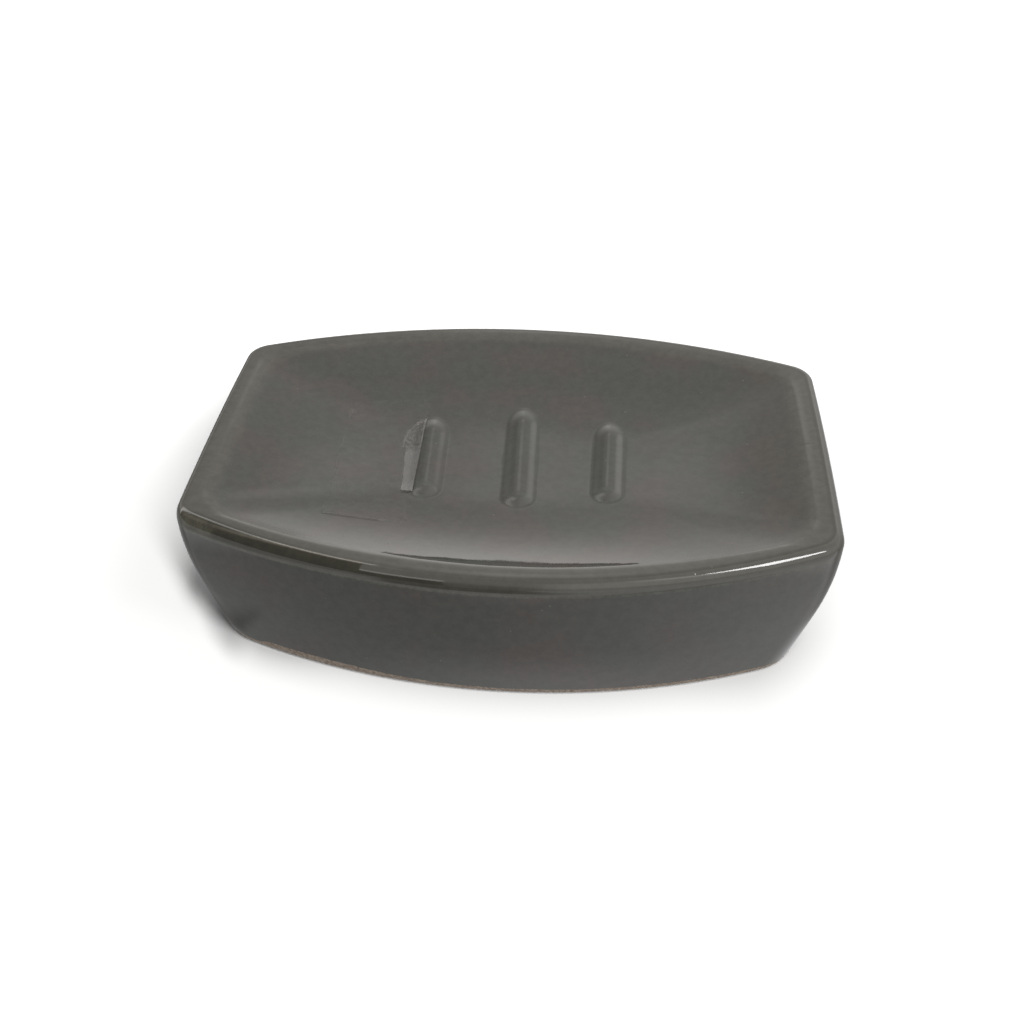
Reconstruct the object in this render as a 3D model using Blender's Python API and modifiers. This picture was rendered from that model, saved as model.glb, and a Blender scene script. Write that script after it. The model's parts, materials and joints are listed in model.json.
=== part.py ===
# Ceramic soap dish: a hollow slip-cast body with a shallow dished top and three raised ribs,
# a clear label film on the tray, and four clear pads under the foot.
# Metres. X runs along the dish, Y across it, +Z up, and the pads stand on Z = 0.
import math

import bmesh
import bpy
import numpy as np

# Rim, seen from above
LENGTH = 0.135
WIDTH = 0.096
SIDE_BOW = 0.0155
END_BOW = 0.0004
CORNER_RADIUS = 0.007

# Outside of the body, from the foot ring up to the rim
BODY_HEIGHT = 0.0314
END_RISE = 0.0011
RIM_RADIUS = 0.002
END_DRAFT = 0.0055
SIDE_DRAFT = 0.0022
FOOT_SIDE_BOW = 0.0148
FOOT_END_BOW = 0.0008
FOOT_CORNER_RADIUS = 0.0065
FOOT_EDGE = 0.0006
LEAST_CORNER = 0.0006
WALL_BEND = 0.4

# Tray
LAND_WIDTH = 0.0034
LAND_FALL = 0.0004
TRAY_DEPTH = 0.006
TRAY_CORNER_RADIUS = 0.011
TRAY_POWER = 2.5

# Ribs that hold the soap off the tray
RIB_WIDTH = 0.0066
RIB_HEIGHT = 0.0013
RIB_SPACING = 0.0198
MIDDLE_RIB_LENGTH = 0.036
SIDE_RIB_LENGTH = 0.029

# Casting: wall, foot ring and vent
WALL = 0.0042
FOOT_RING_WIDTH = 0.0045
RECESS_DEPTH = 0.0015
VENT_RADIUS = 0.00175

# Label film, stuck on the tray with one edge lapping onto the left rib
LABEL_WIDTH = 0.0172
LABEL_LENGTH = 0.042
LABEL_CENTRE_Y = -0.001
LABEL_THICKNESS = 0.0003
LABEL_LAP = 0.0016
LABEL_BRIDGE = 0.003

# Non-slip pads, stuck in the recess under the foot
PAD_RADIUS = 0.004
PAD_HEIGHT = 0.0017
PAD_EDGE = 0.0005
PAD_END_MARGIN = 0.008
PAD_SIDE_MARGIN = 0.003

# Gap between pieces that touch
FIT_GAP = 0.0003

# The foot is drawn in from the rim by the draft of the walls.
FOOT_LENGTH = LENGTH - 2 * END_DRAFT
FOOT_WIDTH = WIDTH - 2 * SIDE_DRAFT

# The foot ring hangs clear of the counter by what the pads stand proud of their recess.
FOOT_LIFT = PAD_HEIGHT + FIT_GAP - RECESS_DEPTH

# Points along a quarter of an outline: half an end, a corner and half a long side
END_STEPS = 4
CORNER_STEPS = 5
SIDE_STEPS = 9

SOLIDS = "soap_dish"
CUTTERS = "cutters"


def clear_scene():
    for obj in list(bpy.data.objects):
        bpy.data.objects.remove(obj, do_unlink=True)
    for name in (SOLIDS, CUTTERS):
        group = bpy.data.collections.new(name)
        bpy.context.scene.collection.children.link(group)


def principled(name, colour, roughness, alpha=1.0, coat=0.0):
    material = bpy.data.materials.new(name)
    material.use_nodes = True
    shader = material.node_tree.nodes["Principled BSDF"]
    shader.inputs["Base Color"].default_value = (*colour, 1.0)
    shader.inputs["Metallic"].default_value = 0.0
    shader.inputs["Roughness"].default_value = roughness
    shader.inputs["Alpha"].default_value = alpha
    shader.inputs["Coat Weight"].default_value = coat
    material.diffuse_color = (*colour, alpha)
    return material


def add_solid(name, mesh, material):
    obj = bpy.data.objects.new(name, mesh)
    bpy.data.collections[SOLIDS].objects.link(obj)
    mesh.materials.clear()
    mesh.materials.append(material)
    return obj


def add_cutter(name, mesh):
    obj = bpy.data.objects.new(name, mesh)
    bpy.data.collections[CUTTERS].objects.link(obj)
    obj.hide_render = True
    obj.display_type = "WIRE"
    return obj


def finished_mesh(shape, name):
    mesh = bpy.data.meshes.new(name)
    shape.to_mesh(mesh)
    shape.free()
    return mesh


def add_boolean(obj, cutter, operation):
    modifier = obj.modifiers.new(cutter.name, "BOOLEAN")
    modifier.operation = operation
    modifier.solver = "EXACT"
    modifier.object = cutter


def arc(centre, radius, start, end, steps):
    angles = np.linspace(start, end, steps + 1)
    return np.column_stack([centre[0] + radius * np.cos(angles), centre[1] + radius * np.sin(angles)])


def plan_outline(length, width, side_bow, end_bow, corner_radius):
    """Barrel-shaped outline: bowed long sides and ends, joined by tangent corner arcs."""
    half_length = length / 2
    half_width = width / 2
    corner_y = half_width - side_bow
    side_radius = (half_length**2 + side_bow**2) / (2 * side_bow)
    end_radius = (corner_y**2 + end_bow**2) / (2 * end_bow)
    side_centre = np.array([0.0, half_width - side_radius])
    end_centre = np.array([half_length - end_radius, 0.0])
    # The corner's centre lies one corner radius inside both arcs.
    apart = end_centre - side_centre
    distance = np.hypot(*apart)
    side_reach = side_radius - corner_radius
    end_reach = end_radius - corner_radius
    along = (side_reach**2 - end_reach**2 + distance**2) / (2 * distance)
    across = math.sqrt(max(side_reach**2 - along**2, 0.0))
    unit = apart / distance
    normal = np.array([-unit[1], unit[0]])
    foot = side_centre + unit * along
    corner_centre = max((foot + normal * across, foot - normal * across), key=min)
    to_end = corner_centre - end_centre
    to_side = corner_centre - side_centre
    end_angle = math.atan2(to_end[1], to_end[0])
    side_angle = math.atan2(to_side[1], to_side[0])
    quarter = np.vstack(
        [
            arc(end_centre, end_radius, 0.0, end_angle, END_STEPS),
            arc(corner_centre, corner_radius, end_angle, side_angle, CORNER_STEPS)[1:],
            arc(side_centre, side_radius, side_angle, math.pi / 2, SIDE_STEPS)[1:],
        ]
    )
    half = np.vstack([quarter, quarter[-2::-1] * (-1, 1)])
    return np.vstack([half, half[-2:0:-1] * (1, -1)])


def rim_outline(inset):
    radius = max(CORNER_RADIUS - inset, LEAST_CORNER)
    return plan_outline(LENGTH - 2 * inset, WIDTH - 2 * inset, SIDE_BOW, END_BOW, radius)


def foot_outline(inset):
    radius = max(FOOT_CORNER_RADIUS - inset, LEAST_CORNER)
    length = FOOT_LENGTH - 2 * inset
    return plan_outline(length, FOOT_WIDTH - 2 * inset, FOOT_SIDE_BOW, FOOT_END_BOW, radius)


def tray_outline():
    inset = RIM_RADIUS + LAND_WIDTH
    return plan_outline(LENGTH - 2 * inset, WIDTH - 2 * inset, SIDE_BOW, END_BOW, TRAY_CORNER_RADIUS)


def rim_height(x):
    """Rim top over the counter: it rises a little towards the two ends."""
    return FOOT_LIFT + BODY_HEIGHT + END_RISE * (x / (LENGTH / 2)) ** 2


def with_height(outline, height):
    return np.column_stack([outline, np.broadcast_to(height, len(outline))])


def wall_blend(share):
    """How far the wall has come out from foot to rim: a straight draft that ends upright."""
    slope = 2 / (1 + WALL_BEND)
    bend = np.maximum(share - WALL_BEND, 0.0)
    return slope * share - slope * bend**2 / (2 * (1 - WALL_BEND))


def wall_section(share, inset):
    """Section of the outer wall, or one moved in by inset, at a share of the wall's height."""
    rim = rim_outline(inset)
    foot = foot_outline(inset)
    top = rim_height(rim_outline(0.0)[:, 0]) - RIM_RADIUS
    outline = foot + (rim - foot) * wall_blend(share)
    return with_height(outline, FOOT_LIFT + (top - FOOT_LIFT) * share)


def tray_reach(angles):
    """Distance from the tray's centre to its edge, and to the oval that its middle rounds to."""
    edge = tray_outline()
    at = np.arctan2(edge[:, 1], edge[:, 0])
    order = np.argsort(at)
    reach = np.interp(angles, at[order], np.hypot(*edge[order].T), period=2 * math.pi)
    half_length = edge[:, 0].max()
    half_width = edge[:, 1].max()
    oval = half_length * half_width / np.hypot(half_width * np.cos(angles), half_length * np.sin(angles))
    return reach, oval


def tray_height(points):
    """Height of the tray's surface at plan points: a bowl whose level lines round off inwards."""
    angles = np.arctan2(points[:, 1], points[:, 0])
    reach, oval = tray_reach(angles)
    radius = np.hypot(*points.T)
    # radius = share * (share * reach + (1 - share) * oval), solved for share
    share = 2 * radius / (oval + np.sqrt(np.maximum(oval**2 + 4 * (reach - oval) * radius, 0.0)))
    edge_height = rim_height(reach * np.cos(angles)) - LAND_FALL
    return tray_floor() + (edge_height - tray_floor()) * np.minimum(share, 1.0) ** TRAY_POWER


def tray_floor():
    return rim_height(0.0) - LAND_FALL - TRAY_DEPTH


def loft(name, sections, end, start=None):
    """Closed solid through sections of equal point count, pointed at its end.

    Its start is pointed too, or flat where no start is given."""
    shape = bmesh.new()
    rings = [[shape.verts.new(point) for point in section] for section in sections]
    for lower, upper in zip(rings, rings[1:]):
        for i, (left, right) in enumerate(zip(lower, upper)):
            shape.faces.new((lower[i - 1], left, right, upper[i - 1]))
    if start is None:
        shape.faces.new(rings[0][::-1])
    else:
        close_with_tip(shape, rings[0], start)
    close_with_tip(shape, rings[-1], end)
    bmesh.ops.recalc_face_normals(shape, faces=shape.faces)
    return finished_mesh(shape, name)


def close_with_tip(shape, ring, point):
    tip = shape.verts.new(point)
    for i, vert in enumerate(ring):
        shape.faces.new((ring[i - 1], vert, tip))


def tray_sections(outline, shares, drop):
    """Rings that shrink to the tray's centre and follow its surface, lowered by drop."""
    reach, oval = tray_reach(np.arctan2(outline[:, 1], outline[:, 0]))
    rings = []
    for share in shares:
        ring = outline * (share * (share + (1 - share) * oval / reach))[:, None]
        rings.append(with_height(ring, tray_height(ring) - drop))
    return rings


def body_sections():
    recess_floor = FOOT_LIFT + RECESS_DEPTH
    rings = [
        with_height(foot_outline(FOOT_RING_WIDTH + FOOT_EDGE), recess_floor),
        with_height(foot_outline(FOOT_RING_WIDTH), FOOT_LIFT + FOOT_EDGE),
        with_height(foot_outline(FOOT_RING_WIDTH - FOOT_EDGE), FOOT_LIFT),
        with_height(foot_outline(FOOT_EDGE), FOOT_LIFT),
    ]
    edge_share = FOOT_EDGE / BODY_HEIGHT
    for share in (edge_share, 0.2, 0.4, 0.55, 0.7, 0.85, 1.0):
        rings.append(wall_section(share, 0.0))
    for angle in np.radians((22.5, 45.0, 67.5, 90.0)):
        outline = rim_outline(RIM_RADIUS * (1 - math.cos(angle)))
        height = rim_height(outline[:, 0]) - RIM_RADIUS * (1 - math.sin(angle))
        rings.append(with_height(outline, height))
    crown = rim_outline(RIM_RADIUS)
    for share in (0.5, 1.0):
        outline = crown + (tray_outline() - crown) * share
        rings.append(with_height(outline, rim_height(outline[:, 0]) - LAND_FALL * share**2))
    return rings + tray_sections(tray_outline(), (0.95, 0.88, 0.79, 0.68, 0.55, 0.4, 0.24, 0.1), 0.0)


def cavity_sections():
    """Inside of the hollow casting, one wall thickness in from the outside."""
    floor = FOOT_LIFT + RECESS_DEPTH + WALL
    rings = []
    shoulder = wall_section(1.0, WALL)
    ceiling = tray_height(shoulder[:, :2]) - WALL
    for rise in (0.0, 0.3, 0.6, 0.85, 1.0):
        height = floor + (ceiling - floor) * rise
        share = (height - FOOT_LIFT) / (rim_height(shoulder[:, 0]) - RIM_RADIUS - FOOT_LIFT)
        foot = foot_outline(WALL)
        outline = foot + (shoulder[:, :2] - foot) * wall_blend(share)[:, None]
        rings.append(with_height(outline, height))
    top = rings[-1][:, :2]
    return rings + tray_sections(top, (0.92, 0.82, 0.7, 0.55, 0.35, 0.15), WALL)


def rib_rise(points):
    """Distance of plan points from the left rib's middle line, and the rib's height there."""
    straight = (SIDE_RIB_LENGTH - RIB_WIDTH) / 2
    past_end = np.maximum(np.abs(points[:, 1]) - straight, 0.0)
    distance = np.hypot(points[:, 0] + RIB_SPACING, past_end)
    share = np.minimum(distance / (RIB_WIDTH / 2), 1.0)
    return distance, RIB_HEIGHT * np.sqrt(1 - share**2)


def rib_mesh(name, x, length):
    """Round-ended rib with a domed back that follows the tray, half of it sunk in the wall."""
    radius = RIB_WIDTH / 2
    straight = length / 2 - radius
    rounding = [(straight + radius * math.cos(angle), math.sin(angle)) for angle in np.radians((70, 45, 20))]
    stations = [(-y, scale) for y, scale in reversed(rounding)]
    stations += [(y, 1.0) for y in np.linspace(-straight, straight, 7)]
    stations += rounding
    turns = np.linspace(0.0, 2 * math.pi, 17)[:-1]
    sections = []
    for y, scale in stations:
        across = np.column_stack([x + radius * scale * np.cos(turns), np.full(len(turns), y)])
        height = tray_height(across) + RIB_HEIGHT * scale * np.sin(turns)
        sections.append(with_height(across, height))
    tips = np.array([(x, -length / 2), (x, length / 2)])
    start, end = with_height(tips, tray_height(tips))
    return loft(name, sections, end, start)


def build_body(material):
    centre = (0.0, 0.0, tray_floor())
    body = add_solid("dish_body", loft("dish_body", body_sections(), centre), material)
    roof = (0.0, 0.0, tray_floor() - WALL)
    cavity = add_cutter("casting_cavity", loft("casting_cavity", cavity_sections(), roof))
    add_boolean(body, cavity, "DIFFERENCE")
    ribs = (
        ("rib_left", -RIB_SPACING, SIDE_RIB_LENGTH),
        ("rib_middle", 0.0, MIDDLE_RIB_LENGTH),
        ("rib_right", RIB_SPACING, SIDE_RIB_LENGTH),
    )
    for name, x, length in ribs:
        add_boolean(body, add_cutter(name, rib_mesh(name, x, length)), "UNION")
    add_boolean(body, vent_cutter(), "DIFFERENCE")
    body.data.shade_smooth()
    body.data.set_sharp_from_angle(angle=math.radians(40))
    return body


def vent_cutter():
    """Hole in the middle of the base that lets the casting breathe in the kiln."""
    shape = bmesh.new()
    bmesh.ops.create_cone(
        shape, cap_ends=True, segments=24, radius1=VENT_RADIUS, radius2=VENT_RADIUS, depth=2 * WALL
    )
    bmesh.ops.translate(shape, verts=shape.verts, vec=(0.0, 0.0, FOOT_LIFT + RECESS_DEPTH + WALL / 2))
    return add_cutter("vent", finished_mesh(shape, "vent"))


def label_height(points):
    """Underside of the film: on the tray, then bridging up to the left rib's back."""
    distance, rib = rib_rise(points)
    ramp = (RIB_WIDTH / 2 + LABEL_BRIDGE - distance) / (LABEL_BRIDGE + LABEL_LAP)
    bridge = RIB_HEIGHT * np.clip(ramp, 0.0, 1.0)
    return tray_height(points) + FIT_GAP + np.maximum(bridge, rib)


def build_label(material):
    shape = bmesh.new()
    bmesh.ops.create_grid(shape, x_segments=14, y_segments=24, size=0.5)
    right_edge = -RIB_SPACING - RIB_WIDTH / 2 + LABEL_LAP
    grid = np.array([vert.co for vert in shape.verts])
    plan = np.column_stack(
        [right_edge - LABEL_WIDTH * (0.5 - grid[:, 0]), LABEL_CENTRE_Y + LABEL_LENGTH * grid[:, 1]]
    )
    for vert, point in zip(shape.verts, with_height(plan, label_height(plan))):
        vert.co = point
    label = add_solid("label_film", finished_mesh(shape, "label_film"), material)
    film = label.modifiers.new("film", "SOLIDIFY")
    film.thickness = LABEL_THICKNESS
    film.offset = 1.0
    return label


def pad_profile():
    """Half section of a pad, from its glued face down its side to its underside."""
    mesh = bpy.data.meshes.new("pad")
    foot = PAD_RADIUS - PAD_EDGE
    rounding = arc((foot, PAD_EDGE), PAD_EDGE, 0.0, -math.pi / 2, 4)
    points = [(0.0, PAD_HEIGHT), (PAD_RADIUS, PAD_HEIGHT), *rounding, (0.0, 0.0)]
    verts = [(x, 0.0, z) for x, z in points]
    edges = [(i, i + 1) for i in range(len(verts) - 1)]
    mesh.from_pydata(verts, edges, [])
    return mesh


def build_pads(material):
    x = FOOT_LENGTH / 2 - FOOT_RING_WIDTH - PAD_END_MARGIN - PAD_RADIUS
    recess = foot_outline(FOOT_RING_WIDTH + FOOT_EDGE)
    upper = recess[recess[:, 1] > 0]
    order = np.argsort(upper[:, 0])
    edge_y = np.interp(x + PAD_RADIUS, upper[order, 0], upper[order, 1])
    y = edge_y - PAD_SIDE_MARGIN - PAD_RADIUS
    mesh = pad_profile()
    for depth_name, depth_side in (("front", -1), ("back", 1)):
        for side_name, side in (("left", -1), ("right", 1)):
            pad = add_solid(f"pad_{depth_name}_{side_name}", mesh, material)
            pad.location = (side * x, depth_side * y, 0.0)
            turn = pad.modifiers.new("turn", "SCREW")
            turn.axis = "Z"
            turn.steps = 32
            turn.render_steps = 32
            turn.use_merge_vertices = True
            turn.merge_threshold = 0.00001


def main():
    clear_scene()
    build_body(principled("glazed_ceramic", (0.1, 0.1, 0.092), 0.12, coat=0.6))
    build_label(principled("clear_film", (0.62, 0.62, 0.6), 0.18, alpha=0.35))
    build_pads(principled("clear_pad", (0.72, 0.72, 0.7), 0.3, alpha=0.5))


main()
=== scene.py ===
# Soap dish: dark glazed slip-cast body, clear label film on the tray, clear pads under the foot.
import json
import math

import bmesh
import bpy
import numpy as np
from mathutils import Matrix, Vector

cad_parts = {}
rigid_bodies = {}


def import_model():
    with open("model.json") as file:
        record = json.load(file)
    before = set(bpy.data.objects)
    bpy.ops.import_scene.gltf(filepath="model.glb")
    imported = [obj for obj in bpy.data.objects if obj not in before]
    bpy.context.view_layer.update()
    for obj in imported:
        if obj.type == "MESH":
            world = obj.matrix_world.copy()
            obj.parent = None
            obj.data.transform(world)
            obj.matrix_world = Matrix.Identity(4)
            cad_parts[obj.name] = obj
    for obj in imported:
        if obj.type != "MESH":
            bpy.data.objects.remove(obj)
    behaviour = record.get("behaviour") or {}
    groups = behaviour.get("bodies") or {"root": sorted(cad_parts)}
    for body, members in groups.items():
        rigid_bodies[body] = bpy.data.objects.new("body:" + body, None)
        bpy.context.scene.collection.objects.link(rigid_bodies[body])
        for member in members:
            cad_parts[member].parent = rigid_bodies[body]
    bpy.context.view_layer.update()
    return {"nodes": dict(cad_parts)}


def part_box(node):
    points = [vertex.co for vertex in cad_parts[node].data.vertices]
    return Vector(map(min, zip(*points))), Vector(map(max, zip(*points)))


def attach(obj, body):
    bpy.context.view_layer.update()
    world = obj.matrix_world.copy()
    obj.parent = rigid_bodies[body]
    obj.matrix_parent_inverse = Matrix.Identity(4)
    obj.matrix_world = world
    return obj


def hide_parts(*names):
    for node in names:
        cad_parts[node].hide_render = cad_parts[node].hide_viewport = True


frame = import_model()
scene = bpy.context.scene
mm = 0.001  # in metres
print("frame loaded:", ", ".join(sorted(frame["nodes"])))


class Wire:  # one output socket, so that values add up as Python sums
    def __init__(self, paint, socket):
        self.paint = paint
        self.socket = socket

    def math(self, operation, first, second):
        return self.paint.math(operation, first, second)

    def other(self, name):  # another output of the same node
        return Wire(self.paint, self.socket.node.outputs[name])

    def __add__(self, other):
        return self.math("ADD", self, other)

    def __radd__(self, other):
        return self.math("ADD", other, self)

    def __sub__(self, other):
        return self.math("SUBTRACT", self, other)

    def __rsub__(self, other):
        return self.math("SUBTRACT", other, self)

    def __mul__(self, other):
        return self.math("MULTIPLY", self, other)

    def __rmul__(self, other):
        return self.math("MULTIPLY", other, self)

    def __pow__(self, other):
        return self.math("POWER", self, other)


class Paint:  # node tree of one material or of the world
    def __init__(self, owner):
        self.owner = owner
        owner.use_nodes = True
        self.tree = owner.node_tree
        self.tree.nodes.clear()

    def node(self, kind, settings=None, sockets=None, take=0):
        made = self.tree.nodes.new(kind)
        for key, value in (settings or {}).items():
            setattr(made, key, value)
        for key, value in (sockets or {}).items():
            if isinstance(value, Wire):
                self.tree.links.new(value.socket, made.inputs[key])
            else:
                made.inputs[key].default_value = value
        return Wire(self, made.outputs[take])

    def math(self, operation, first, second=0.0):
        return self.node("ShaderNodeMath", {"operation": operation}, {0: first, 1: second})

    def place(self):
        return self.node("ShaderNodeTexCoord", take="Object")

    def axes(self, vector):
        parts = self.node("ShaderNodeSeparateXYZ", None, {0: vector})
        return parts, parts.other("Y"), parts.other("Z")

    def noise(self, scale, detail=3.0, rough=0.5):
        values = {"Vector": self.place(), "Scale": scale, "Detail": detail, "Roughness": rough}
        return self.node("ShaderNodeTexNoise", None, values)

    def cells(self, scale):  # distance to the nearest of scattered points
        values = {"Vector": self.place(), "Scale": scale}
        return self.node("ShaderNodeTexVoronoi", {"feature": "F1"}, values, take="Distance")

    def spread(self, value, low, high, toLow=0.0, toHigh=1.0):  # soft step, clamped
        settings = {"interpolation_type": "SMOOTHSTEP", "clamp": True}
        return self.node("ShaderNodeMapRange", settings, {0: value, 1: low, 2: high, 3: toLow, 4: toHigh})

    def hump(self, value, centre, reach):  # 1 at the centre, 0 from the reach outwards
        return self.spread(self.math("ABSOLUTE", value - centre), 0.0, reach, 1.0, 0.0)

    def near(self, point, reach, soft):  # 1 inside a ball, in millimetres
        settings = {"operation": "DISTANCE"}
        values = {0: self.place(), 1: [part * mm for part in point]}
        away = self.node("ShaderNodeVectorMath", settings, values, take="Value")
        return self.spread(away, (reach - soft) * mm, (reach + soft) * mm, 1.0, 0.0)

    def weight(self, name):  # a per-point value stored on the mesh
        return self.node("ShaderNodeAttribute", {"attribute_name": name}, take="Fac")

    def blend(self, share, first, second, way="MIX"):
        settings = {"data_type": "RGBA", "blend_type": way, "clamp_factor": True}
        return self.node("ShaderNodeMix", settings, {0: share, 6: first, 7: second}, take=2)

    def bump(self, height, depth, strength=1.0, under=None):
        values = {"Height": height, "Distance": depth, "Strength": strength}
        if under:
            values["Normal"] = under
        return self.node("ShaderNodeBump", None, values)

    def surface(self, sockets):
        self.output(self.node("ShaderNodeBsdfPrincipled", None, sockets))
        return self.owner

    def output(self, shader, kind="ShaderNodeOutputMaterial"):
        last = self.tree.nodes.new(kind)
        self.tree.links.new(shader.socket, last.inputs[0])


def newPaint(name):
    return Paint(bpy.data.materials.new(name))


def colour(red, green, blue):
    return (red, green, blue, 1.0)


# All sizes below are millimetres until a mesh is made.

dish = {
    "length": 135.0,
    "width": 96.0,
    "sideBow": 15.5,
    "endBow": 0.4,
    "cornerRadius": 7.0,
    "leastRadius": 0.6,
    "height": 31.4,
    "endRise": 1.1,
    "rimRadius": 2.0,
    "rimDrop": (3.3, 2.3),  # height of the rim's bend at its left and at its right
    "dropChange": (-10.0, 60.0),  # where it starts to change, and over what stretch
    "endDraft": 5.5,
    "sideDraft": 2.1,
    "footSideBow": 13.9,
    "footEndBow": 0.8,
    "footCornerRadius": 12.0,
    "footEdge": 0.6,
    "wallBend": 0.4,
    "landWidth": 3.65,
    "landFall": 0.4,
    "trayDepth": 6.0,
    "traySideBow": 12.6,
    "trayCornerRadius": 11.0,
    "trayPower": 3.0,
    "rollWidth": (2.4, 1.4),  # over which the tray rolls on to the land, at the left and beyond
    "rollChange": (-42.0, 20.0),
    "rollTurn": 0.16,
    "footRing": 4.5,
    "recessDepth": 1.5,
    "footLift": 0.5,
    "ventRadius": 1.75,
    "ventDepth": 4.0,
    "ventLip": (0.12, 0.4),  # two steps of its rounded lip
    "steps": (14, 16, 60),  # points on half an end, a corner and half a side
    "rings": {"base": 10, "wall": 60, "bend": 25, "land": 15, "tray": 132},
}

ribs = (  # middle line from its front end to its back end, half width, length of the back toe, height
    {"front": (-18.6, -15.6), "back": (-20.0, 15.0), "half": 3.7, "toe": 6.6, "height": 1.02},
    {"front": (1.6, -17.2), "back": (0.3, 20.6), "half": 3.9, "toe": 7.4, "height": 1.05},
    {"front": (20.3, -14.4), "back": (20.5, 16.1), "half": 3.7, "toe": 6.8, "height": 1.02},
)
ribFullness = 2.4


def arcPoints(centre, radius, start, end, steps):
    turn = np.linspace(start, end, steps + 1)
    return np.column_stack([centre[0] + radius * np.cos(turn), centre[1] + radius * np.sin(turn)])


def planOutline(length, width, sideBow, endBow, cornerRadius):
    halfLength, halfWidth = length / 2, width / 2
    cornerY = halfWidth - sideBow
    sideRadius = (halfLength**2 + sideBow**2) / (2 * sideBow)
    endRadius = (cornerY**2 + endBow**2) / (2 * endBow)
    sideCentre = np.array([0.0, halfWidth - sideRadius])
    endCentre = np.array([halfLength - endRadius, 0.0])
    apart = endCentre - sideCentre
    distance = np.hypot(*apart)
    sideReach, endReach = sideRadius - cornerRadius, endRadius - cornerRadius
    along = (sideReach**2 - endReach**2 + distance**2) / (2 * distance)
    across = math.sqrt(max(sideReach**2 - along**2, 0.0))
    unit = apart / distance
    normal = np.array([-unit[1], unit[0]])
    foot = sideCentre + unit * along
    corner = max((foot + normal * across, foot - normal * across), key=lambda point: point[0])
    toEnd, toSide = corner - endCentre, corner - sideCentre
    endTurn = math.atan2(toEnd[1], toEnd[0])
    sideTurn = math.atan2(toSide[1], toSide[0])
    endSteps, cornerSteps, sideSteps = dish["steps"]
    quarter = np.vstack([
        arcPoints(endCentre, endRadius, 0.0, endTurn, endSteps),
        arcPoints(corner, cornerRadius, endTurn, sideTurn, cornerSteps)[1:],
        arcPoints(sideCentre, sideRadius, sideTurn, math.pi / 2, sideSteps)[1:],
    ])
    half = np.vstack([quarter, quarter[-2::-1] * (-1, 1)])
    return np.vstack([half, half[-2:0:-1] * (1, -1)])


def rimOutline(inset):
    radius = max(dish["cornerRadius"] - inset, dish["leastRadius"])
    length, width = dish["length"] - 2 * inset, dish["width"] - 2 * inset
    return planOutline(length, width, dish["sideBow"], dish["endBow"], radius)


def footOutline(inset):
    radius = max(dish["footCornerRadius"] - inset, dish["leastRadius"])
    length = dish["length"] - 2 * dish["endDraft"] - 2 * inset
    width = dish["width"] - 2 * dish["sideDraft"] - 2 * inset
    return planOutline(length, width, dish["footSideBow"], dish["footEndBow"], radius)


def trayOutline():
    inset = dish["rimRadius"] + dish["landWidth"]
    length, width = dish["length"] - 2 * inset, dish["width"] - 2 * inset
    return planOutline(length, width, dish["traySideBow"], dish["endBow"], dish["trayCornerRadius"])


def rimHeight(x):
    return dish["footLift"] + dish["height"] + dish["endRise"] * (x / (dish["length"] / 2)) ** 2


def rimDrop(x):
    left, right = dish["rimDrop"]
    start, stretch = dish["dropChange"]
    share = np.clip((x - start) / stretch, 0, 1)
    return left + (right - left) * share**2 * (3 - 2 * share)


def rollDrop(x, away):  # softens the crease between tray and land
    left, other = dish["rollWidth"]
    start, stretch = dish["rollChange"]
    width = left + (other - left) * np.clip((x - start) / stretch, 0, 1)
    return dish["rollTurn"] * np.maximum(width / 2 - away, 0.0) ** 2 / (2 * width)


def wallBlend(share):
    bendFrom = dish["wallBend"]
    slope = 2 / (1 + bendFrom)
    return slope * share - slope * np.maximum(share - bendFrom, 0.0) ** 2 / (2 * (1 - bendFrom))


trayEdge = trayOutline()
trayTurns = np.arctan2(trayEdge[:, 1], trayEdge[:, 0])
trayOrder = np.argsort(trayTurns)


def trayReach(turns):
    reach = np.interp(turns, trayTurns[trayOrder], np.hypot(*trayEdge[trayOrder].T), period=2 * math.pi)
    halfLength, halfWidth = trayEdge.max(axis=0)
    oval = halfLength * halfWidth / np.hypot(halfWidth * np.cos(turns), halfLength * np.sin(turns))
    return reach, oval


def bowlHeight(points):  # the tray without its ribs
    turns = np.arctan2(points[:, 1], points[:, 0])
    reach, oval = trayReach(turns)
    radius = np.hypot(*points.T)
    share = 2 * radius / (oval + np.sqrt(np.maximum(oval**2 + 4 * (reach - oval) * radius, 0.0)))
    floor = rimHeight(0.0) - dish["landFall"] - dish["trayDepth"]
    edge = rimHeight(reach * np.cos(turns)) - dish["landFall"]
    away = np.maximum(reach * (1 - share), 0.0)
    return floor + (edge - floor) * np.minimum(share, 1.0) ** dish["trayPower"] - rollDrop(points[:, 0], away)


def ribRise(points, rib):
    front, back = np.array(rib["front"]), np.array(rib["back"])
    unit = (back - front) / np.linalg.norm(back - front)
    half, toe = rib["half"], rib["toe"]
    start = front + unit * half
    length = np.linalg.norm(back - front) - half - toe
    along = (points - start) @ unit
    across = (points - start) @ np.array([-unit[1], unit[0]])
    beyond = np.maximum(-along, 0.0) / half + np.maximum(along - length, 0.0) / toe
    share = np.minimum(np.hypot(across / half, beyond), 1.0)
    return rib["height"] * (1 - share**ribFullness) ** 2


def trayHeight(points):
    rise = np.max([ribRise(points, rib) for rib in ribs], axis=0)
    return bowlHeight(points) + rise


def raised(outline, height):
    return np.column_stack([outline, np.broadcast_to(height, len(outline))])


def addPiece(name, mesh, paint, node):
    piece = bpy.data.objects.new(name, mesh)
    scene.collection.objects.link(piece)
    mesh.materials.append(paint)
    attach(piece, "root")
    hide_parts(node)
    return piece


def smoothMesh(shape, name):
    bmesh.ops.recalc_face_normals(shape, faces=shape.faces)
    mesh = bpy.data.meshes.new(name)
    shape.to_mesh(mesh)
    shape.free()
    mesh.shade_smooth()
    return mesh


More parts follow.
